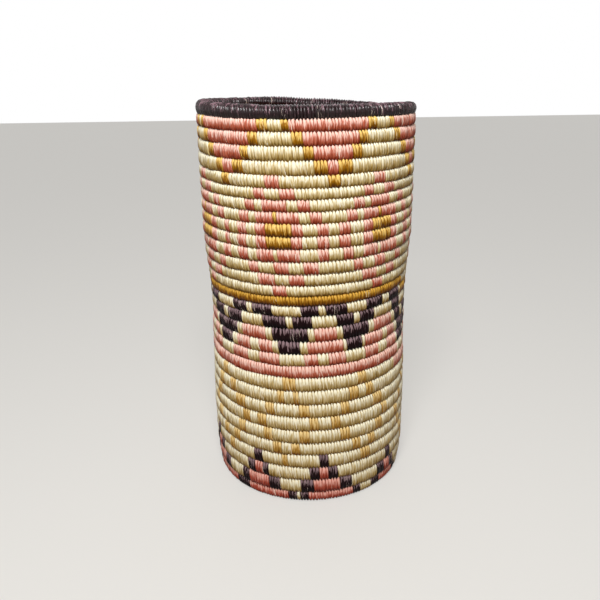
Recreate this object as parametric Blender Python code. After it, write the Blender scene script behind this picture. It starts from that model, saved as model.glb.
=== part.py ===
"""Coiled sisal basket: a tall cylinder with a slight waist, built as one long coil.

The coil starts at a knot in the middle of the base, winds outward in a flat spiral, turns up at
the foot and climbs to the rim as a right-handed helix. Each round of the wall is a piece of its
own, and a last, dark round is the rim, whose tail thins out on the round below.

Metres, +Z up. The origin is the middle of the base, on the surface that the basket stands on.
The front of the basket looks along -Y. Azimuth runs anticlockwise seen from above, from +X.
"""

import math

import bpy
import bmesh

# Driving dimensions
RIM_DIAMETER = 0.1396
COIL_THICKNESS = 0.0085
COURSE_HEIGHT = 0.0081
RIM_COURSE_HEIGHT = 0.0084
COIL_GAP = 0.00045
RIM_SAG = 0.0015

# Height of each wall course, foot to rim, as a share of COURSE_HEIGHT
COURSE_HEIGHT_SHARES = (
    1.05, 1.23, 1.19, 1.17, 1.13, 1.17, 1.19, 1.18, 1.23, 1.16, 1.03,
    1.03, 1.08, 1.13, 0.97, 0.81, 0.78, 0.89, 0.92, 0.93, 0.96, 0.90,
    0.85, 0.86, 0.81, 0.77, 0.88, 0.99, 0.95, 0.92, 0.86,
)

# Outer radius up the wall: share of the wall's height, share of the rim's radius
PROFILE_SHARES = (
    (0.000, 0.950), (0.020, 0.955), (0.050, 0.970), (0.100, 0.979), (0.200, 0.984), (0.320, 0.975),
    (0.470, 0.957), (0.560, 0.962), (0.640, 0.984), (0.700, 0.999), (0.800, 1.000), (1.050, 0.999),
)

# Height of the rim course along its turn: share of the turn, share of RIM_COURSE_HEIGHT
RIM_HEIGHT_SHARES = (
    (0.000, 1.00), (0.075, 0.98), (0.130, 0.82), (0.250, 0.66), (0.380, 0.83), (0.630, 0.81),
    (0.750, 0.76), (0.880, 0.62), (0.955, 0.28), (1.000, 0.12),
)

# The coil's turns all begin where the rim's tail ends, at the back right
START_AZIMUTH = math.radians(44)
STEPS_PER_TURN = 24
TURN_UP_SHARE = 0.35
RISE_SHARE = 0.70
EVEN_CLIMB_BIAS = 1.3
SAG_AZIMUTH = math.radians(5)
SAG_HALF_WIDTH = math.radians(75)
SAG_FADE_SHARE = 0.60
TIP_SHARE = 0.12
KNOT_SHARE = 0.33

# Section of the coil, round from its outer ridge: share of the thickness, share of the height
SECTION_SHARES = ((0.5, 0.0), (0.3, 0.5), (-0.3, 0.5), (-0.5, 0.0), (-0.3, -0.5), (0.3, -0.5))

COURSES = len(COURSE_HEIGHT_SHARES)
RIM_RADIUS = RIM_DIAMETER / 2
FOOT_RADIUS = RIM_RADIUS * PROFILE_SHARES[0][1]
WALL_HEIGHT = COURSE_HEIGHT * sum(COURSE_HEIGHT_SHARES)
BASE_PITCH = COIL_THICKNESS + COIL_GAP
BASE_TURNS = int((FOOT_RADIUS - COIL_THICKNESS * KNOT_SHARE) / BASE_PITCH) - 1
HALF_GAP = COIL_GAP / 2
TO_MILLIMETRES = 1000

# Colours of the sisal strands
NATURAL = (0.71, 0.61, 0.40)
PINK = (0.58, 0.26, 0.21)
OCHRE = (0.45, 0.25, 0.04)
AUBERGINE = (0.05, 0.03, 0.04)
SISAL_ROUGHNESS = 0.55

# The strand that shows most on each course, foot to rim
COURSE_STRANDS = (
    ["pink_sisal"] * 2 + ["natural_sisal"] * 8 + ["pink_sisal"] * 3 + ["aubergine_sisal"] * 3
    + ["ochre_sisal"] + ["natural_sisal"] * 12 + ["pink_sisal"] * 2
)


def remove_all_objects():
    for item in list(bpy.data.objects):
        bpy.data.objects.remove(item, do_unlink=True)


def make_material(name, colour):
    material = bpy.data.materials.new(name)
    material.use_nodes = True
    shader = material.node_tree.nodes["Principled BSDF"]
    shader.inputs["Base Color"].default_value = (*colour, 1.0)
    shader.inputs["Roughness"].default_value = SISAL_ROUGHNESS
    shader.inputs["Metallic"].default_value = 0.0
    return material


def smooth(share):
    """Ease from 0 to 1, flat at both ends."""
    share = min(1.0, max(0.0, share))
    return share * share * (3.0 - 2.0 * share)


def curve_through(points, place):
    """Read a smooth curve through (place, value) points."""
    index = 0
    while index < len(points) - 2 and place > points[index + 1][0]:
        index += 1
    (x0, y0), (x1, y1) = points[index], points[index + 1]
    before = points[max(index - 1, 0)]
    after = points[min(index + 2, len(points) - 1)]
    slope0 = (y1 - before[1]) / (x1 - before[0])
    slope1 = (after[1] - y0) / (after[0] - x0)
    width = x1 - x0
    t = min(1.0, max(0.0, (place - x0) / width))
    return (
        y0 * (1 + 2 * t) * (1 - t) ** 2 + y1 * t * t * (3 - 2 * t)
        + slope0 * width * t * (1 - t) ** 2 - slope1 * width * t * t * (1 - t)
    )


def outer_radius(height):
    return RIM_RADIUS * curve_through(PROFILE_SHARES, height / WALL_HEIGHT)


def rise(turn):
    """How far a round that turns up has climbed, after a share of a turn."""
    return smooth(turn / (TURN_UP_SHARE * RISE_SHARE))


def spread(turn):
    """How far the round beneath has moved out under it."""
    return smooth((turn - TURN_UP_SHARE * (1 - RISE_SHARE)) / (TURN_UP_SHARE * RISE_SHARE))


def sag(turn, height):
    """The upper rounds sit a little low on the right of the basket."""
    away = (START_AZIMUTH + math.tau * turn - SAG_AZIMUTH + math.pi) % math.tau - math.pi
    if abs(away) > SAG_HALF_WIDTH:
        return 0.0
    depth = math.cos(away / SAG_HALF_WIDTH * math.pi / 2) ** 2
    share = height / WALL_HEIGHT
    return RIM_SAG * depth * smooth((share - SAG_FADE_SHARE) / (1 - SAG_FADE_SHARE))


def stack_height(count):
    return COURSE_HEIGHT * sum(COURSE_HEIGHT_SHARES[:count])


def foot_top():
    """Top of the first course, and of the base that it grows out of."""
    return stack_height(1) - HALF_GAP


def underside(course, turn):
    """Height of the joint under a course. Course 1 stands on the ground."""
    if course == 1:
        return 0.0
    start = stack_height(course - 2)
    height = COURSE_HEIGHT * COURSE_HEIGHT_SHARES[course - 2]
    evenness = math.sin(math.pi * (start / WALL_HEIGHT) ** EVEN_CLIMB_BIAS) ** 2
    climbed = (1 - evenness) * rise(turn) + evenness * turn
    level = start + climbed * height
    return level - sag(turn, level)


def section(azimuth, outer, thickness, low, high):
    """Six corners of the coil's section in the upright plane at an azimuth."""
    middle_radius = outer - thickness / 2
    middle_height = (low + high) / 2
    corners = []
    for across, up in SECTION_SHARES:
        radius = middle_radius + across * thickness
        x = radius * math.cos(azimuth)
        y = radius * math.sin(azimuth)
        corners.append((x, y, middle_height + up * (high - low)))
    return corners


def make_tube(name, sections, material):
    """Bridge the sections into one closed tube with flat ends."""
    mesh = bpy.data.meshes.new(name)
    shape = bmesh.new()
    rings = [[shape.verts.new(corner) for corner in ring] for ring in sections]
    sides = len(rings[0])
    for ring, following in zip(rings, rings[1:]):
        for index in range(sides):
            beside = (index + 1) % sides
            shape.faces.new((ring[index], following[index], following[beside], ring[beside]))
    shape.faces.new(rings[0])
    shape.faces.new(list(reversed(rings[-1])))
    bmesh.ops.recalc_face_normals(shape, faces=shape.faces)
    shape.to_mesh(mesh)
    shape.free()
    mesh.materials.append(material)
    piece = bpy.data.objects.new(name, mesh)
    bpy.context.collection.objects.link(piece)
    return piece


def turn_steps(first, last):
    """Shares of a turn at which sections stand, between two ends."""
    inner = [step / STEPS_PER_TURN for step in range(STEPS_PER_TURN * BASE_TURNS + 1)]
    return [first] + [turn for turn in inner if first < turn < last] + [last]


def end_trim(radius):
    """Share of a turn that an end stops short, so that two ends keep the gap."""
    return HALF_GAP / (math.tau * radius)


def foot_outer(turn):
    """Outer edge of the first course, which starts beside the foot and moves out under it."""
    return outer_radius(stack_height(1) / 2) - BASE_PITCH * (1 - spread(turn))


def course_sections(course):
    trim = end_trim(RIM_RADIUS)
    sections = []
    for turn in turn_steps(trim, 1 - trim):
        azimuth = START_AZIMUTH + math.tau * turn
        low = underside(course, turn)
        if course == 1:
            high = foot_top()
            outer = foot_outer(turn)
        else:
            high = underside(course + 1, turn) - HALF_GAP
            low += HALF_GAP
            outer = outer_radius((low + high) / 2)
        sections.append(section(azimuth, outer, COIL_THICKNESS, low, high))
    return sections


def rim_sections():
    trim = end_trim(RIM_RADIUS)
    sections = []
    for turn in turn_steps(trim, 1 - trim):
        azimuth = START_AZIMUTH + math.tau * turn
        low = underside(COURSES + 1, turn) + HALF_GAP
        high = low + RIM_COURSE_HEIGHT * curve_through(RIM_HEIGHT_SHARES, turn) - COIL_GAP
        outer = outer_radius((low + high) / 2)
        sections.append(section(azimuth, outer, COIL_THICKNESS, low, high))
    return sections


def base_edge(start_radius, lap, turn):
    """Outer edge of a lap of the base spiral. Inner laps spread evenly, the last one late."""
    evenness = 1 - (lap - 1) / (BASE_TURNS - 1)
    spent = (1 - evenness) * spread(turn) + evenness * turn
    return start_radius + BASE_PITCH * (lap - 1 + spent)


def base_sections(start_radius):
    """The flat spiral, from a thin tip round the knot to the first course's start."""
    sections = []
    for place in turn_steps(TIP_SHARE, BASE_TURNS - end_trim(RIM_RADIUS)):
        lap = min(int(place) + 1, BASE_TURNS)
        turn = place - (lap - 1)
        outer = base_edge(start_radius, lap, turn) - COIL_GAP
        inner = start_radius
        if lap > 1:
            inner = base_edge(start_radius, lap - 1, turn)
        azimuth = START_AZIMUTH + math.tau * turn
        sections.append(section(azimuth, outer, outer - inner, 0.0, foot_top()))
    return sections


def make_knot(name, radius, material):
    """The knot at the middle of the base, a short drum with eased edges."""
    mesh = bpy.data.meshes.new(name)
    shape = bmesh.new()
    bmesh.ops.create_cone(
        shape, cap_ends=True, segments=STEPS_PER_TURN, radius1=radius, radius2=radius,
        depth=foot_top(),
    )
    caps = [face for face in shape.faces if len(face.verts) == STEPS_PER_TURN]
    edges = [edge for cap in caps for edge in cap.edges]
    bmesh.ops.bevel(shape, geom=edges, offset=radius / 4, segments=1, affect="EDGES")
    shape.to_mesh(mesh)
    shape.free()
    mesh.materials.append(material)
    piece = bpy.data.objects.new(name, mesh)
    piece.location = (0.0, 0.0, foot_top() / 2)
    bpy.context.collection.objects.link(piece)
    return piece


def least_gap(inner_rings, outer_rings):
    """Least distance between the corners of two runs of sections, ring by ring."""
    least = COIL_THICKNESS
    for ring, other in zip(inner_rings, outer_rings):
        for corner in ring:
            for facing in other:
                least = min(least, math.dist(corner, facing))
    return least


def main():
    remove_all_objects()
    materials = {
        "natural_sisal": make_material("natural_sisal", NATURAL),
        "pink_sisal": make_material("pink_sisal", PINK),
        "ochre_sisal": make_material("ochre_sisal", OCHRE),
        "aubergine_sisal": make_material("aubergine_sisal", AUBERGINE),
    }
    base_end = foot_outer(0.0)
    start_radius = base_end + COIL_GAP - BASE_PITCH * BASE_TURNS
    spiral = base_sections(start_radius)
    make_knot("base_knot", start_radius - COIL_GAP, materials["natural_sisal"])
    make_tube("base_coil", spiral, materials["natural_sisal"])
    rounds = [course_sections(course) for course in range(1, COURSES + 1)]
    for number, (sections, strand) in enumerate(zip(rounds, COURSE_STRANDS), start=1):
        make_tube(f"course_{number:02d}", sections, materials[strand])
    rounds.append(rim_sections())
    make_tube("rim_course", rounds[-1], materials["aubergine_sisal"])
    lap = STEPS_PER_TURN
    print("least gap in the base coil, mm:", round(least_gap(spiral, spiral[lap:]) * TO_MILLIMETRES, 3))
    wall_gap = min(least_gap(low, high) for low, high in zip(rounds, rounds[1:]))
    print("least gap between courses, mm:", round(wall_gap * TO_MILLIMETRES, 3))


main()
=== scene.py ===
"""Looks of the coiled sisal basket, stitch by stitch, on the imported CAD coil.

Metres, +Z up. The basket's front looks along -Y. Places along the coil are counted in turns from
the start of the first wall round, so the base has negative ones and the rim ends at 32.
"""

import math

import bpy
import numpy as np
from mathutils import Matrix, Vector


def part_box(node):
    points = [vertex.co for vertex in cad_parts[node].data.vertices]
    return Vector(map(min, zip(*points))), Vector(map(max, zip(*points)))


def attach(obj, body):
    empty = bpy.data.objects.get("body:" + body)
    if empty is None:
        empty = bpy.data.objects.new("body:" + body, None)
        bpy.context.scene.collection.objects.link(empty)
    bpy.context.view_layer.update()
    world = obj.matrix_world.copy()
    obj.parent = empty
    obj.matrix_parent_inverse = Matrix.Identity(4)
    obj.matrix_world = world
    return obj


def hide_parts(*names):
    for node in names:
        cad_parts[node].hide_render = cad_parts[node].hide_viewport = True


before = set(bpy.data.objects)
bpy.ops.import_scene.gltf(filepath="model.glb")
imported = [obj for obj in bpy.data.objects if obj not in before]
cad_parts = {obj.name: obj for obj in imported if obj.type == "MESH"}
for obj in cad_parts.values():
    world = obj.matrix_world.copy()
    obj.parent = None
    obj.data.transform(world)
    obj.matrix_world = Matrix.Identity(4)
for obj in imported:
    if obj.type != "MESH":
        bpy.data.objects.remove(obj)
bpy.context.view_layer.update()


# The base coil
# A bundle of grass stems, wound flat from the knot and wrapped all the way in undyed sisal. Each
# stitch goes round the bundle and through the lap before it, which holds the laps together.
START_AZIMUTH = math.radians(44)
BASE_LAPS = 6
WALL_ROUNDS = 31

# The coil's run is read from the CAD pieces, whose sections stand at stations round each turn. A
# corner's key is its turn from the start, in hundredths of a station
STATIONS = 24
KEYS_PER_STATION = 100


def corners_by_station(node):
    """Radius and height of a CAD piece's corners, by the upright plane that they lie in."""
    stations = {}
    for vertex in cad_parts[node].data.vertices:
        x, y, z = vertex.co
        turn = (math.atan2(y, x) - START_AZIMUTH) / math.tau % 1.0
        key = round(turn * STATIONS * KEYS_PER_STATION) % (STATIONS * KEYS_PER_STATION)
        stations.setdefault(key, set()).add((round(math.hypot(x, y), 6), round(z, 6)))
    return stations


def base_path():
    """Sections of the flat spiral, whose laps lie side by side in each plane."""
    stations = corners_by_station("base_coil")
    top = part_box("base_coil")[1].z
    path = []
    for lap in range(BASE_LAPS):
        for station in range(STATIONS):
            corners = stations[station * KEYS_PER_STATION]
            # A lap is widest at half its height, where it has one inner and one outer corner
            edges = sorted(radius for radius, z in corners if abs(z - top / 2) < top / 10)
            own = lap - (BASE_LAPS - len(edges) // 2)
            if own >= 0:
                place = lap - BASE_LAPS + station / STATIONS
                path.append((place, edges[2 * own], edges[2 * own + 1], 0.0, top))
    return path


def section_at(corners):
    """Inner and outer radius, low and high edge of a round's section."""
    radii, heights = zip(*corners)
    return min(radii), max(radii), min(heights), max(heights)


def round_path(node, first_place):
    """Sections of one wall round, the first of which stands a little past its station."""
    stations = corners_by_station(node)
    path = []
    for station in range(STATIONS):
        corners = stations[station * KEYS_PER_STATION or min(stations)]
        path.append((first_place + station / STATIONS, *section_at(corners)))
    return path


COURSE_NODES = [f"course_{number:02d}" for number in range(1, WALL_ROUNDS + 1)]
coil = base_path()
for number, node in enumerate(COURSE_NODES + ["rim_course"]):
    coil += round_path(node, number)
tail_end = corners_by_station("rim_course")[STATIONS * KEYS_PER_STATION - 1]
coil.append((WALL_ROUNDS + 1, *section_at(tail_end)))
PLACES = np.array([row[0] for row in coil])
SECTIONS = np.array([row[1:] for row in coil])


def coil_at(place):
    """Inner and outer radius, low and high edge at places on the coil, eased between sections."""
    index = np.clip(np.searchsorted(PLACES, place, side="right") - 1, 0, len(PLACES) - 2)
    t = ((place - PLACES[index]) / (PLACES[index + 1] - PLACES[index]))[:, None]
    before = SECTIONS[np.maximum(index - 1, 0)]
    first, second = SECTIONS[index], SECTIONS[index + 1]
    after = SECTIONS[np.minimum(index + 2, len(PLACES) - 1)]
    return 0.5 * (
        2 * first + (second - before) * t
        + (2 * before - 5 * first + 4 * second - after) * t ** 2
        + (3 * first - before - 3 * second + after) * t ** 3
    )


# A stitch as shares of the coil's section: place along it, width and height there. It is crowned
# in the middle and pulls in towards its neighbours, most of all over the top and under the bottom.
# Stitches are merged where they meet within so many stitches
STITCH_EDGES = ((0.24, 0.975, 0.93), (0.50, 1.0, 1.0), (0.76, 0.975, 0.93), (1.0, 0.905, 0.76))
CORNER_SHARE = 0.32
CORNER_SEGMENTS = 3
MERGE_WITHIN = 0.001


def only(piece):
    """Selects one piece alone and makes it active."""
    bpy.ops.object.select_all(action="DESELECT")
    piece.select_set(True)
    bpy.context.view_layer.objects.active = piece


def one_stitch(corner_share):
    """Models a stitch one metre wide, whose corners are as round as this share of its side."""
    bpy.ops.object.select_all(action="DESELECT")
    bpy.ops.mesh.primitive_plane_add(size=1, rotation=(0, math.pi / 2, 0))
    piece = bpy.context.object
    piece.name = "one_stitch"
    bpy.ops.object.transform_apply(location=True, rotation=True, scale=True)
    bpy.ops.object.mode_set(mode="EDIT")
    bpy.ops.mesh.select_all(action="SELECT")
    bpy.ops.mesh.bevel(
        offset=corner_share, segments=CORNER_SEGMENTS, affect="VERTICES", clamp_overlap=True
    )
    bpy.ops.mesh.delete(type="ONLY_FACE")
    bpy.ops.mesh.select_all(action="SELECT")
    reached, width, height = 0.0, *STITCH_EDGES[-1][1:]
    bpy.ops.transform.resize(value=(1, width, height), center_override=(0, 0, 0))
    for edge, edge_width, edge_height in STITCH_EDGES:
        bpy.ops.mesh.extrude_edges_move(TRANSFORM_OT_translate={"value": (edge - reached, 0, 0)})
        grow = (1, edge_width / width, edge_height / height)
        bpy.ops.transform.resize(value=grow, center_override=(edge, 0, 0))
        reached, width, height = edge, edge_width, edge_height
    bpy.ops.object.mode_set(mode="OBJECT")
    return piece


stitch = one_stitch(CORNER_SHARE)
FACES_PER_STITCH = len(stitch.data.polygons)


def run_of_stitches(model, count):
    """A straight run of stitches along +X, one metre each, joined where they meet."""
    only(model)
    bpy.ops.object.duplicate()
    run = bpy.context.object
    bpy.ops.object.modifier_add(type="ARRAY")
    array = run.modifiers[-1]
    array.count = count
    array.use_relative_offset = False
    array.use_constant_offset = True
    array.constant_offset_displace = (1, 0, 0)
    array.use_merge_vertices = True
    array.merge_threshold = MERGE_WITHIN
    bpy.ops.object.modifier_apply(modifier=array.name)
    return run


# A round's stitches rise a little above its CAD piece and reach down over the tips of the lap
# below, as shares of its height. The rim's tail narrows as it thins out: FLATTEST is the most that
# a coil is wide for its height
RISE = 0.065
REACH = 0.19
FLATTEST = 1.6
ON_GROUND_BELOW = 0.001

# In the base the laps lie side by side, so there the stitches spread sideways, in metres: outwards
# until the wall starts, and inwards until it stands on itself, in turns from the wall's start.
# Where the first round moves out under the second, it bulges towards it
SPREAD = 0.00090
OUTWARD_ENDS = 0.3
INWARD_ENDS = 2.0
FOOT_BULGE = 0.0028

# A stitch leans by so many stitches from its foot to its top, most at the left and least at the
# right
LEAN = -0.50
LEAN_SWAY = -0.35

# How far hand sewing strays from even: in stitches for leans and widths, in metres for the crowns
# and the bundle. A lean, a width and a bulge each last for so many stitches
LEAN_STRAY = 0.30
STITCHES_PER_LEAN = 1.6
WIDTH_STRAY = 0.19
STITCHES_PER_WIDTH = 1.0
CROWN_STRAY = 0.00022
BUNDLE_STRAY = 0.00020
STITCHES_PER_BULGE = 9

# Steps per stitch at which the coil's length is measured, and the distance between the numbers of
# one run's stitches and the next run's
STEPS_PER_STITCH = 24
NUMBERS_PER_RUN = 1000


def drift(random, count, step):
    """Smooth chance values at count + 1 places, new every few steps."""
    knots = random.uniform(-1, 1, int(count / step) + 4)
    place = np.arange(count + 1) / step
    index = place.astype(int)
    t = place - index
    ease = t * t * (3 - 2 * t)
    return knots[index] * (1 - ease) + knots[index + 1] * ease


def wind(run, start, end, seed, reach):
    """Bends a straight run onto the coil from one place to another, as uneven as hand sewing.

    In the straight run x counts stitches, y is the share across the coil's width, from the outside
    in, and z the share of its height. The materials read them from an attribute.
    """
    mesh = run.data
    flat = np.empty(len(mesh.vertices) * 3)
    mesh.vertices.foreach_get("co", flat)
    x, y, z = flat.reshape(-1, 3).T
    count = int(round(x.max()))
    random = np.random.default_rng(seed)
    straight = np.column_stack((x + NUMBERS_PER_RUN * seed, y, z))
    kept = mesh.attributes.new("strand", "FLOAT_VECTOR", "POINT")
    kept.data.foreach_set("vector", straight.astype(np.float32).ravel())

    # Each stitch leans and is wider or narrower than the next, but the run's ends stay in place
    steps = np.arange(count + 1)
    rough_azimuth = START_AZIMUTH + math.tau * (start + (end - start) * x / count)
    lean = LEAN - LEAN_SWAY * np.cos(rough_azimuth)
    lean += LEAN_STRAY * np.interp(x, steps, drift(random, count, STITCHES_PER_LEAN))
    stray = WIDTH_STRAY * np.interp(x, steps, drift(random, count, STITCHES_PER_WIDTH))
    slid = x + np.minimum(1.0, np.minimum(x, count - x)) * (lean * z + stray)

    # The stitches share out the coil's length
    grid = np.linspace(start, end, STEPS_PER_STITCH * count)
    inner, outer, low, high = coil_at(grid).T
    length = np.concatenate(((0.0,), np.cumsum((inner + outer)[1:])))
    place = np.interp(slid / count * length[-1], length, grid)
    inner, outer, low, high = coil_at(place).T

    # The bundle swells and thins, and each stitch is crowned by its own height
    own = np.clip(x.astype(int), 0, count - 1)
    crest = np.sin(math.pi * np.clip(x - own, 0, 1))
    swell = BUNDLE_STRAY * np.interp(x, steps, drift(random, count, STITCHES_PER_BULGE))
    crown = CROWN_STRAY * random.uniform(-1, 1, count)[own] * crest + swell

    # The strands close the gap to the round below, and to the laps beside them in the base
    on_ground = low < ON_GROUND_BELOW
    tall = high - low
    low = np.where(on_ground, low, low - reach * tall)
    high = high + RISE * tall
    narrow = np.minimum(1.0, (high - low) / (outer - inner) * FLATTEST)
    outer = outer + SPREAD * np.clip(1 - place / OUTWARD_ENDS, 0, 1)
    outer = outer + FOOT_BULGE * np.sin(math.pi * np.clip(place / OUTWARD_ENDS, 0, 1))
    inner = inner - SPREAD * np.clip(INWARD_ENDS - place, 0, 1)

    radius = (inner + outer) / 2 - y * ((outer - inner) * narrow + 2 * crown)
    height = (low + high) / 2 + z * (high - low + np.where(on_ground, 0.0, 2 * crown))
    height = np.maximum(height, 0.0)
    azimuth = START_AZIMUTH + math.tau * place
    wound = np.column_stack((radius * np.cos(azimuth), radius * np.sin(azimuth), height))
    mesh.vertices.foreach_set("co", wound.astype(np.float32).ravel())
    mesh.update()


def linear(colour):
    """A hex colour as the linear values that Blender's sockets take."""
    shares = [int(colour[i:i + 2], 16) / 255 for i in (1, 3, 5)]
    return [s / 12.92 if s <= 0.04045 else ((s + 0.055) / 1.055) ** 2.4 for s in shares] + [1.0]


def add_node(tree, kind, settings=None, values=None, links=None):
    """Adds a node with its settings, its input values, and links from (node, output) pairs."""
    node = tree.nodes.new(kind)
    for name, value in (settings or {}).items():
        setattr(node, name, value)
    for name, value in (values or {}).items():
        node.inputs[name].default_value = value
    for name, (source, output) in (links or {}).items():
        tree.links.new(source.outputs[output], node.inputs[name])
    return node


# Sisal is combed leaf fibre. It lies side by side in the strand, a little askew, and is glossy only
# where the light meets a clean crown. Real fibres are 0.2 mm wide: they are drawn 0.6 mm wide, as
# finer ones don't show. A strand is 2 mm wide and its streaks run for about 5 mm
FIBRES_PER_STITCH = 3.4
STREAKS_PER_SECTION = 1.7
FIBRE_SLANT = 0.9
FIBRE_RELIEF = 0.00022
SISAL_IOR = 1.53
ROUGHNESS_STRAY = 0.10

# The tones at which a strand has its deepest and its lightest colour, the tone that its streaks
# lie about, and how far one stitch's tone differs from another's
DEEP_TONE = 0.32
LIGHT_TONE = 0.92
STREAK_TONE = 0.65
OWN_TONE = 0.08

# The notch between two stitches is painted shade, which takes so much off the tone, most of all
# over the top. It deepens between two shares of the height above the middle, and its width is in
# stitches
NOTCH_WIDTH = 0.18
NOTCH_SHADE_ON_FACE = -0.12
NOTCH_SHADE_ON_TOP = -0.60
NOTCH_DEEPENS_FROM = 0.05
NOTCH_DEEPENS_TO = 0.42

# The share of stitches with no undyed fibre caught beside them, that fibre's width in stitches, and
# the noise below which it is out of sight
CLEAN_STITCHES = 0.94
STRAY_FIBRE_WIDTH = 0.13
STRAY_FIBRE_BREAKS = 0.5


def sisal(
    name, deep, body, light, stray_fibre,
    body_tone=0.65, painted_height_shade=1.0, streakiness=1.3, roughness=0.40, gloss=0.14,
):
    """A strand in four tones: its underside in painted shade, its body, its crown in painted light, and
    stray undyed fibre.

    The body's tone lies between those of the other two. The height shade is painted light and shade,
    how much the strand pales from the coil's underside to its top, and streakiness how far its fibres
    differ.
    """
    material = bpy.data.materials.new(name)
    material.use_nodes = True
    tree = material.node_tree
    shader = tree.nodes["Principled BSDF"]
    strand = add_node(tree, "ShaderNodeAttribute", {"attribute_name": "strand"})
    apart = add_node(tree, "ShaderNodeSeparateXYZ", links={"Vector": (strand, "Vector")})

    # Each stitch has its own chance value, which slants its fibres and shifts its tone
    number = add_node(tree, "ShaderNodeMath", {"operation": "FLOOR"}, links={0: (apart, "X")})
    chance = add_node(
        tree, "ShaderNodeTexWhiteNoise", {"noise_dimensions": "1D"}, links={"W": (number, 0)}
    )
    own_slant = add_node(
        tree, "ShaderNodeMapRange", values={"To Min": -FIBRE_SLANT, "To Max": FIBRE_SLANT / 3},
        links={"Value": (chance, "Value")},
    )
    askew = add_node(
        tree, "ShaderNodeMath", {"operation": "MULTIPLY_ADD"},
        links={0: (apart, "Z"), 1: (own_slant, "Result"), 2: (apart, "X")},
    )
    along = add_node(
        tree, "ShaderNodeCombineXYZ", links={"X": (askew, 0), "Y": (apart, "Y"), "Z": (apart, "Z")}
    )
    stretch = add_node(
        tree, "ShaderNodeVectorMath", {"operation": "MULTIPLY"},
        {1: (FIBRES_PER_STITCH, STREAKS_PER_SECTION, STREAKS_PER_SECTION)}, {0: (along, "Vector")},
    )
    fibres = add_node(
        tree, "ShaderNodeTexNoise", {"noise_dimensions": "4D"},
        {"Scale": 1.0, "Detail": 2.0, "Roughness": 0.6},
        {"Vector": (stretch, "Vector"), "W": (chance, "Value")},
    )

    # The tone falls off into the notches and towards the underside as painted shade, and varies with
    # the fibres
    across = add_node(
        tree, "ShaderNodeMath", {"operation": "PINGPONG"}, {1: 0.5}, {0: (apart, "X")}
    )
    notch = add_node(
        tree, "ShaderNodeMapRange", {"interpolation_type": "SMOOTHSTEP"},
        {
            "From Min": NOTCH_DEEPENS_FROM, "From Max": NOTCH_DEEPENS_TO,
            "To Min": NOTCH_SHADE_ON_FACE, "To Max": NOTCH_SHADE_ON_TOP,
        },
        {"Value": (apart, "Z")},
    )
    painted_notch_shade = add_node(
        tree, "ShaderNodeMapRange", {"interpolation_type": "SMOOTHSTEP"},
        {"From Min": 0.0, "From Max": NOTCH_WIDTH, "To Max": 0.0},
        {"Value": (across, 0), "To Min": (notch, 0)},
    )
    shade = add_node(
        tree, "ShaderNodeMath", {"operation": "MULTIPLY_ADD"}, {1: painted_height_shade},
        {0: (apart, "Z"), 2: (painted_notch_shade, 0)},
    )
    even = add_node(
        tree, "ShaderNodeMath", {"operation": "MULTIPLY_ADD"}, {1: OWN_TONE},
        {0: (chance, "Value"), 2: (shade, 0)},
    )
    half = streakiness / 2
    streaks = add_node(
        tree, "ShaderNodeMapRange", values={"To Min": STREAK_TONE - half, "To Max": STREAK_TONE + half},
        links={"Value": (fibres, "Fac")},
    )
    tone = add_node(
        tree, "ShaderNodeMath", {"operation": "ADD"}, links={0: (streaks, "Result"), 1: (even, 0)}
    )
    ramp = add_node(tree, "ShaderNodeValToRGB", links={"Fac": (tone, 0)})
    ramp.color_ramp.elements[0].position = DEEP_TONE
    ramp.color_ramp.elements[0].color = linear(deep)
    ramp.color_ramp.elements[1].position = LIGHT_TONE
    ramp.color_ramp.elements[1].color = linear(light)
    middle = ramp.color_ramp.elements.new(body_tone)
    middle.color = linear(body)

    # The stray fibre lies in the notch of a few stitches
    loose = add_node(
        tree, "ShaderNodeMath", {"operation": "GREATER_THAN"}, {1: CLEAN_STITCHES},
        {0: (chance, "Value")},
    )
    edge = add_node(
        tree, "ShaderNodeMath", {"operation": "LESS_THAN"}, {1: STRAY_FIBRE_WIDTH}, {0: (across, 0)}
    )
    broken = add_node(
        tree, "ShaderNodeMath", {"operation": "GREATER_THAN"}, {1: STRAY_FIBRE_BREAKS},
        {0: (fibres, "Fac")},
    )
    stray = add_node(
        tree, "ShaderNodeMath", {"operation": "MULTIPLY"}, links={0: (loose, 0), 1: (edge, 0)}
    )
    share = add_node(
        tree, "ShaderNodeMath", {"operation": "MULTIPLY"}, links={0: (stray, 0), 1: (broken, 0)}
    )
    colour = add_node(
        tree, "ShaderNodeMix", {"data_type": "RGBA"}, {"B": linear(stray_fibre)},
        {"Factor": (share, 0), "A": (ramp, "Color")},
    )
    tree.links.new(colour.outputs["Result"], shader.inputs["Base Color"])

    sheen = add_node(
        tree, "ShaderNodeMapRange",
        values={
            "From Min": 0.3, "From Max": 0.7,
            "To Min": roughness + ROUGHNESS_STRAY, "To Max": roughness - ROUGHNESS_STRAY,
        },
        links={"Value": (fibres, "Fac")},
    )
    tree.links.new(sheen.outputs["Result"], shader.inputs["Roughness"])
    relief = add_node(
        tree, "ShaderNodeBump", values={"Strength": 1.0, "Distance": FIBRE_RELIEF},
        links={"Height": (fibres, "Fac")},
    )
    tree.links.new(relief.outputs["Normal"], shader.inputs["Normal"])
    shader.inputs["IOR"].default_value = SISAL_IOR
    shader.inputs["Specular IOR Level"].default_value = gloss
    return material


# A strand's deep colour is painted shade on its underside and in its notches, and its light colour
# painted light on its crown; both are also the tones of its darkest and palest fibres
STRANDS = {".": sisal("undyed_sisal_strand", "#90702F", "#CDB57B", "#FBF5DA", "#F6EFDC")}
STRAND_NAMES = {".": "natural"}
STRAND_SLOTS = {".": "natural_sisal"}
SMOOTH_BELOW = math.radians(60)


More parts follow.
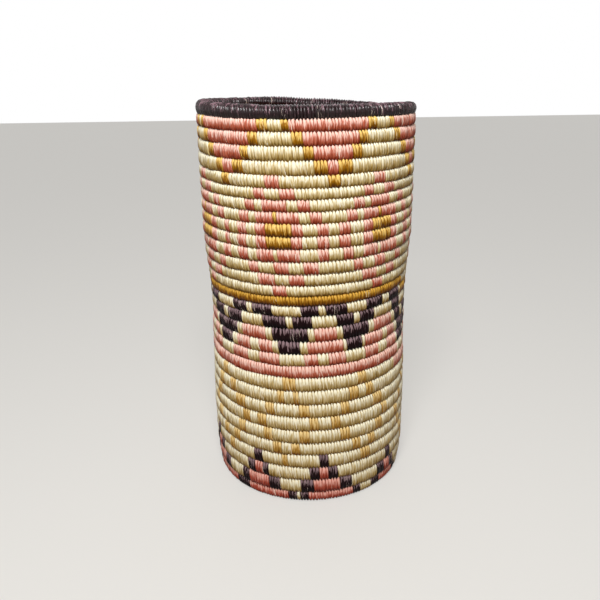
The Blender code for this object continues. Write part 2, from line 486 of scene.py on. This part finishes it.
def sew(node, model, count, start, end, seed, colours, reach=REACH):
    """Makes a run of stitches on one CAD piece: one mesh for each strand that it is sewn with."""
    run = run_of_stitches(model, count)
    wind(run, start, end, seed, reach)
    used = sorted(set(colours))
    for colour in used:
        run.data.materials.append(STRANDS[colour])
    slots = np.repeat([used.index(colour) for colour in colours], FACES_PER_STITCH)
    run.data.polygons.foreach_set("material_index", slots.astype(np.int32))
    only(run)
    if len(used) > 1:
        bpy.ops.mesh.separate(type="MATERIAL")
    for piece in list(bpy.context.selected_objects):
        only(piece)
        bpy.ops.object.mode_set(mode="EDIT")
        bpy.ops.mesh.select_all(action="SELECT")
        bpy.ops.mesh.fill_holes(sides=0)
        bpy.ops.mesh.select_all(action="SELECT")
        bpy.ops.mesh.normals_make_consistent(inside=False)
        bpy.ops.object.mode_set(mode="OBJECT")
        bpy.ops.object.shade_smooth_by_angle(angle=SMOOTH_BELOW)
        colour = next(c for c in used if STRANDS[c] == piece.data.materials[0])
        piece.name = f"{node}_{STRAND_NAMES[colour]}_stitches"
        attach(piece, "root")
        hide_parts(node)


BASE_STITCHES = 600
BASE_SEED = 40
sew("base_coil", stitch, BASE_STITCHES, PLACES[0], 0.0, BASE_SEED, "." * BASE_STITCHES)


# The knot
# The bundle's first end, bound round on itself into a button at the middle of the base. Its
# strands run over it from the middle, four to a radian.
KNOT_STRANDS_PER_RADIAN = 4
knot_low, knot_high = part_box("base_knot")
knot_width = knot_high.x - knot_low.x
bpy.ops.object.select_all(action="DESELECT")
bpy.ops.mesh.primitive_uv_sphere_add(
    segments=24, ring_count=12, radius=knot_width / 2, location=(knot_low + knot_high) / 2,
    scale=(1, 1, (knot_high.z - knot_low.z) / knot_width),
)
knot = bpy.context.object
knot.name = "base_knot_natural"
bpy.ops.object.transform_apply(location=True, rotation=True, scale=True)
bpy.ops.object.shade_smooth()
around = knot.data.attributes.new("strand", "FLOAT_VECTOR", "POINT")
for vertex, kept in zip(knot.data.vertices, around.data):
    turned = KNOT_STRANDS_PER_RADIAN * math.atan2(vertex.co.y, vertex.co.x)
    kept.vector = (turned, vertex.co.z / knot_high.z, 0.0)
knot.data.materials.append(STRANDS["."])
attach(knot, "root")
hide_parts("base_knot")


# The wall
# Thirty-one rounds of the same coil, each sewn through the top of the one below. The weaver
# changes to a dyed strand for the pattern, and counts it in stitches.
STRANDS["p"] = sisal("pink_dyed_sisal_strand", "#8A341C", "#C2684F", "#F9D0C0", "#F3E3D2")
STRANDS["o"] = sisal(
    "ochre_dyed_sisal_strand", "#583000", "#A26C0A", "#F0CB74", "#EFDDB0",
    body_tone=0.66, streakiness=1.5,
)
# The aubergine's light colour is painted highlight: lilac glints on its crown and its palest fibres
STRANDS["a"] = sisal(
    "aubergine_dyed_sisal_strand", "#0B0204", "#200B0E", "#8E767A", "#C9B8AC",
    body_tone=0.80, painted_height_shade=0.95, streakiness=1.5, roughness=0.34, gloss=0.06,
)
STRAND_NAMES |= {"p": "pink", "o": "ochre", "a": "aubergine"}
STRAND_SLOTS |= {"p": "pink_sisal", "o": "ochre_sisal", "a": "aubergine_sisal"}

# The dyes take unevenly: ochre is full and dark where a whole round is sewn with it and thin in the
# lattice. The pink of the foot is drawn darker and deeper
STRANDS["d"] = sisal("deep_pink_dyed_sisal_strand", "#7C2412", "#B85440", "#F0B4A4", "#F3E3D2")
STRANDS["g"] = sisal("full_ochre_dyed_sisal_strand", "#5A3000", "#8B5804", "#DAA944", "#EFDDB0")
STRANDS["y"] = sisal(
    "thin_ochre_dyed_sisal_strand", "#7E5210", "#B98A34", "#EFD292", "#EFDDB0",
    painted_height_shade=0.9, streakiness=1.5, gloss=0.2,
)
STRAND_NAMES |= {"d": "deep_pink", "g": "full_ochre", "y": "thin_ochre"}
STRAND_SLOTS |= {"d": "pink_sisal", "g": "ochre_sisal", "y": "ochre_sisal"}

# Rows run from 1 under the rim to 31 at the foot. In a text each letter is a stitch: p pink, d deep
# pink, o ochre, g full ochre, y thin ochre, a aubergine, a dot natural, and | the motif's middle.
# Middles are in degrees round from the front, to the right. Where the weaver counted one motif a
# stitch differently from its fellows, its own text comes after theirs and covers it
TRIANGLES = (-42.5, 12.0, 66.0, 116.3, 166.6, 216.9, 267.2)
MEDALLIONS = (-67.6, -15.2, 39.0, 91.2, 141.5, 191.8, 242.0)
CHEVRONS = (-54.8, -11.2, 68.0, 107.5, 147.0, 186.6, 226.1, 265.7)
TIGHT_CHEVRON = (26.8,)
DIAMONDS = (-12.2, 76.5, 122.4, 168.3, 214.3, 260.3)
WIDE_DIAMONDS = (-53.8, 30.5)
PEAKS = (-71.0, -31.5, 9.0, 51.7, 91.2, 130.8, 170.3, 209.9, 249.4)

MOTIFS = {
    1: ((TRIANGLES, "oopppppppppppp|pppppppppppooo"),),
    2: ((TRIANGLES, "oooppppppppp|ppppppppooo"), (TRIANGLES[1:2], ".ooopppppppp|")),
    3: (
        (TRIANGLES, "oooppppp|pppppoooo"), (TRIANGLES[:1], "ooopppppp|pppppooo."),
        (TRIANGLES[1:2], "|ppppppooo"),
    ),
    4: ((TRIANGLES, "oooop|ppoooo"), (TRIANGLES[:1], "ooopp|")),
    5: ((TRIANGLES, "oo|o"), (TRIANGLES[1:2], ".o|oo"), (MEDALLIONS, "ppp|p")),
    6: ((MEDALLIONS, "ppp...|.pppp"),),
    7: ((MEDALLIONS, "ppp..pppp|ppp...ppp"), (MEDALLIONS[2:3], "|ppp....ppp")),
    8: ((MEDALLIONS, "ppp..pppppo|pppppp...ppp"), (MEDALLIONS[:1], "|ppppp...ppp.")),
    9: (
        (MEDALLIONS, "ppp...pppooo|ooooppp....ppp"), (MEDALLIONS[:1], "|ooooppp....pp."),
        (MEDALLIONS[2:3], "ppp....pppooo|"),
    ),
    10: (
        (MEDALLIONS, "ppp...pppooo|ooooppp....ppp"), (MEDALLIONS[:1], "|ooooppp....pp."),
        (MEDALLIONS[2:3], "ppp....pppooo|"),
    ),
    11: (
        (MEDALLIONS, "ppp...ppppp.|pppppp....ppp"), (MEDALLIONS[1:2], "|pppppp.....ppp"),
        (MEDALLIONS[2:3], "|ppppppp....ppp"),
    ),
    12: (
        (MEDALLIONS, "ppp.....pp|pp.....ppp"), (MEDALLIONS[:1], "|ppp...."),
        (MEDALLIONS[1:2], ".ppp.....p|ppp....pppp"), (MEDALLIONS[2:3], ".ppp....pp|"),
    ),
    13: ((MEDALLIONS, "ppppp.|...pppp"),),
    14: ((MEDALLIONS, "pp|pp"),),
    15: (),
    16: (
        (CHEVRONS, "aaaaaa....|....aaaaa"), (CHEVRONS[1:2], "aaaaaa.....|...aaaaa."),
        (CHEVRONS[2:3], ".aaaaaa...|"), (TIGHT_CHEVRON, "aaaaaa...|...aaaaaa"),
    ),
    17: (
        (CHEVRONS, "aaaaaa.|.aaaaaa"), (CHEVRONS[1:2], "aaaaaaa.|.aaaaa."),
        (TIGHT_CHEVRON, "aaaaa.|.aaaaa"),
    ),
    18: ((CHEVRONS, "..aaaaa|aaaaa.."), (TIGHT_CHEVRON, "..aaaa|aaaa..")),
    19: ((CHEVRONS, "pppp..aaa|aaa..ppppp"), (TIGHT_CHEVRON, "ppppp.aaa|aa.ppppppp")),
    20: (
        (CHEVRONS, "pppppp...|....pppp"), (CHEVRONS[:1], "|...pppppp"),
        (TIGHT_CHEVRON, "ppppp...|...ppppp"),
    ),
    21: (),
    22: ((DIAMONDS, "y|yyy"), (WIDE_DIAMONDS[:1], "yyy|"), (WIDE_DIAMONDS[1:], "yy|y")),
    23: ((DIAMONDS, "yy.|..yy"), (WIDE_DIAMONDS[:1], "yyy...|.yyy"), (WIDE_DIAMONDS[1:], "yyy..|.yyy")),
    24: ((DIAMONDS, "yyy....|....yyy"), (WIDE_DIAMONDS, "yyy.....|....yyyy")),
    25: (
        (DIAMONDS, "yyy.......|.......yyy"), (WIDE_DIAMONDS[:1], "yyy........|.......yyy"),
        (WIDE_DIAMONDS[1:], "yyy........|........yyy"),
    ),
    26: ((DIAMONDS, "yyy.....|....yyy"), (WIDE_DIAMONDS, "yyy.....|.....yyy")),
    27: ((DIAMONDS, "yyy..|.yyy"), (WIDE_DIAMONDS, "yyy.|..yyy")),
    28: (
        (DIAMONDS, "yy|"), (WIDE_DIAMONDS[:1], "y|yy"), (WIDE_DIAMONDS[1:], "y|yyy"),
        (PEAKS, "aa|a"), (PEAKS[1:2], ".a|aa"), (PEAKS[3:4], ".a|aa"),
    ),
    29: ((PEAKS, "aaadd|daaa"), (PEAKS[1:2], ".aaad|ddaa"), (PEAKS[3:4], "aaaad|ddaaa")),
    30: ((PEAKS, "aaaaddddd|ddddaaaa"), (PEAKS[1:2], "..aaadddd|"), (PEAKS[2:3], ".aaaadddd|dddddaaaa")),
    31: ((PEAKS, "aaadddddddd|ddddddddaaa"),),
}

# A row's plain strand where it isn't natural. Row 0 is the rim, whose strand is taken up on the
# last stitches of the first row
GROUNDS = {0: "a", 15: "g", 18: "p", 21: "p"}

# Rows are sewn in bands. Each band's first row, and its stitches in a round
STITCH_BANDS = ((1, 214), (5, 197), (15, 214), (16, 184), (21, 206))

# Where one row of the pattern gives way to the next, row and degrees: it drifts as rounds are added
SEAM_ROWS = (1, 16, 25, 31)
SEAM_DEGREES = (90, 63, 53.5, 31.5)
START_DEGREES = math.degrees(START_AZIMUTH) + 90


def stitches_in(row):
    """Stitches in a wall round."""
    return [stitches for first_row, stitches in STITCH_BANDS if first_row <= row][-1]


def strand_at(row, degrees, width):
    """The strand of the stitch that lies so many degrees round from the front in a row."""
    colour = GROUNDS.get(row, ".")
    for middles, text in MOTIFS.get(row, ()):
        stitches = text.replace("|", "")
        for middle in middles:
            away = (degrees - middle + 180) % 360 - 180
            letter = math.floor(away / width) + text.index("|")
            if 0 <= letter < len(stitches):
                colour = stitches[letter]
    return colour


def round_colours(row, count):
    """The strand of each stitch of a wall round, from the coil's start at the back right."""
    seam = (np.interp(row, SEAM_ROWS, SEAM_DEGREES) - START_DEGREES) % 360
    width = 360 / count
    colours = []
    for stitch_number in range(count):
        degrees = (START_DEGREES + (stitch_number + 0.5) * width + 180) % 360 - 180
        past_seam = stitch_number / count > seam / 360
        colours.append(strand_at(row - 1 if past_seam else row, degrees, width))
    return colours


for number, node in enumerate(COURSE_NODES, start=1):
    row = WALL_ROUNDS + 1 - number
    count = stitches_in(row)
    sew(node, stitch, count, number - 1, number, number, round_colours(row, count))
bpy.data.objects.remove(stitch)


# The rim
# The last round is all aubergine, and rounder, as no coil lies on it. Its strand is glossy, and the
# palest of its fibre streaks are painted glints, with a little painted light towards its top. Its
# tail thins out on the round below at the back right.
RIM_STITCHES = 220
RIM_CORNER_SHARE = 0.44
RIM_REACH = 0.34
RIM_SEED = 32
STRANDS["r"] = sisal(
    "rubbed_aubergine_dyed_sisal_strand", "#0C0303", "#240C10", "#80626A", "#C9B8AC",
    body_tone=0.84, painted_height_shade=0.30, streakiness=1.4, roughness=0.26, gloss=0.28,
)
STRAND_NAMES["r"] = "glint_painted_aubergine"
STRAND_SLOTS["r"] = "aubergine_sisal"
rim_stitch = one_stitch(RIM_CORNER_SHARE)
sew(
    "rim_course", rim_stitch, RIM_STITCHES, WALL_ROUNDS, WALL_ROUNDS + 1, RIM_SEED,
    "r" * RIM_STITCHES, RIM_REACH,
)
bpy.data.objects.remove(rim_stitch)


# Floor, light and camera
# A plain pale floor under a soft lamp above the viewer's left shoulder. The floor is pale to the
# eye and gives back little light, and a fill from behind keeps the far side readable.
FLOOR_SIZE = 6.0
FLOOR_PALENESS = 0.5


def seen_by_eye(tree):
    """One for rays from the camera, through glass and in gloss, and nought for other light."""
    ray = add_node(tree, "ShaderNodeLightPath")
    camera_or_glass = add_node(
        tree, "ShaderNodeMath", {"operation": "MAXIMUM"},
        links={0: (ray, "Is Camera Ray"), 1: (ray, "Is Transmission Ray")},
    )
    return add_node(
        tree, "ShaderNodeMath", {"operation": "MAXIMUM"},
        links={0: (camera_or_glass, 0), 1: (ray, "Is Glossy Ray")},
    )


bpy.ops.object.select_all(action="DESELECT")
bpy.ops.mesh.primitive_plane_add(size=FLOOR_SIZE)
floor = bpy.context.object
floor.name = "floor"
painted = bpy.data.materials.new("matt_painted_floor")
painted.use_nodes = True
paint = painted.node_tree
seen = seen_by_eye(paint)
floor_colour = add_node(
    paint, "ShaderNodeMix", {"data_type": "RGBA"},
    {"A": linear("#70522F"), "B": linear("#D9D6D0")}, {"Factor": (seen, 0)},
)
matt = paint.nodes["Principled BSDF"]
paint.links.new(floor_colour.outputs["Result"], matt.inputs["Base Color"])
matt.inputs["Roughness"].default_value = 0.8

# So much of the floor that is seen is plain pale, and the rest takes the light and the shadow
pale = add_node(paint, "ShaderNodeEmission", values={"Color": linear("#F2F0EC"), "Strength": 1.0})
paleness = add_node(
    paint, "ShaderNodeMath", {"operation": "MULTIPLY"}, {1: FLOOR_PALENESS}, {0: (seen, 0)}
)
blend = add_node(paint, "ShaderNodeMixShader", links={0: (paleness, 0), 1: (matt, 0), 2: (pale, 0)})
paint.links.new(blend.outputs[0], paint.nodes["Material Output"].inputs["Surface"])
floor.data.materials.append(painted)

# The dome's strength at the horizon and overhead, and the fill's strength right behind. The fill
# starts at one share of the way back and is full at the other
DOME_LOW = 0.04
DOME_HIGH = 0.18
BACK_FILL = 0.9
BACK_FILL_STARTS = 0.4
BACK_FILL_FULL = 0.9
world = bpy.data.worlds.new("studio")
bpy.context.scene.world = world
world.use_nodes = True
sky = world.node_tree
direction = add_node(sky, "ShaderNodeTexCoord")
ways = add_node(sky, "ShaderNodeSeparateXYZ", links={"Vector": (direction, "Generated")})
dome = add_node(
    sky, "ShaderNodeMapRange", values={"To Min": DOME_LOW, "To Max": DOME_HIGH},
    links={"Value": (ways, "Z")},
)
behind = add_node(
    sky, "ShaderNodeMapRange", {"interpolation_type": "SMOOTHSTEP"},
    {"From Min": BACK_FILL_STARTS, "From Max": BACK_FILL_FULL, "To Max": BACK_FILL},
    {"Value": (ways, "Y")},
)
fill = add_node(
    sky, "ShaderNodeMath", {"operation": "ADD"}, links={0: (dome, "Result"), 1: (behind, "Result")}
)
lit = sky.nodes["Background"]
lit.inputs["Color"].default_value = linear("#F4F3F0")
sky.links.new(fill.outputs[0], lit.inputs["Strength"])
backdrop = add_node(sky, "ShaderNodeBackground", values={"Color": (1, 1, 1, 1), "Strength": 1.0})
blend = add_node(
    sky, "ShaderNodeMixShader", links={0: (seen_by_eye(sky), 0), 1: (lit, 0), 2: (backdrop, 0)}
)
sky.links.new(blend.outputs[0], sky.nodes["World Output"].inputs["Surface"])

KEY_PLACE = (-0.05, -0.58, 0.78)
KEY_AIM = (0, 0, 0.13)
KEY_SIZE = 0.30
KEY_POWER = 7.8
bpy.ops.object.light_add(type="AREA", location=KEY_PLACE)
key = bpy.context.object
key.data.shape = "SQUARE"
key.data.size = KEY_SIZE
key.data.energy = KEY_POWER
key.rotation_euler = (Vector(KEY_AIM) - key.location).to_track_quat("-Z", "Y").to_euler()

# The camera stands where the photograph was taken, a little above the rim and tilted down
CAMERA_PLACE = (-0.0056, -0.4389, 0.2811)
CAMERA_PITCH = math.radians(20.01)
CAMERA_ROLL = math.radians(-0.85)
SENSOR_WIDTH = 36.0
FOCAL_LENGTH = 39.6
bpy.ops.object.camera_add(location=CAMERA_PLACE)
camera = bpy.context.object
tilt = Matrix.Rotation(math.pi / 2 - CAMERA_PITCH, 3, "X") @ Matrix.Rotation(CAMERA_ROLL, 3, "Z")
camera.rotation_euler = tilt.to_euler("XYZ")
camera.data.sensor_width = SENSOR_WIDTH
camera.data.lens = FOCAL_LENGTH
camera.data.clip_start = 0.01
bpy.context.scene.camera = camera
bpy.context.scene.view_settings.view_transform = "Standard"
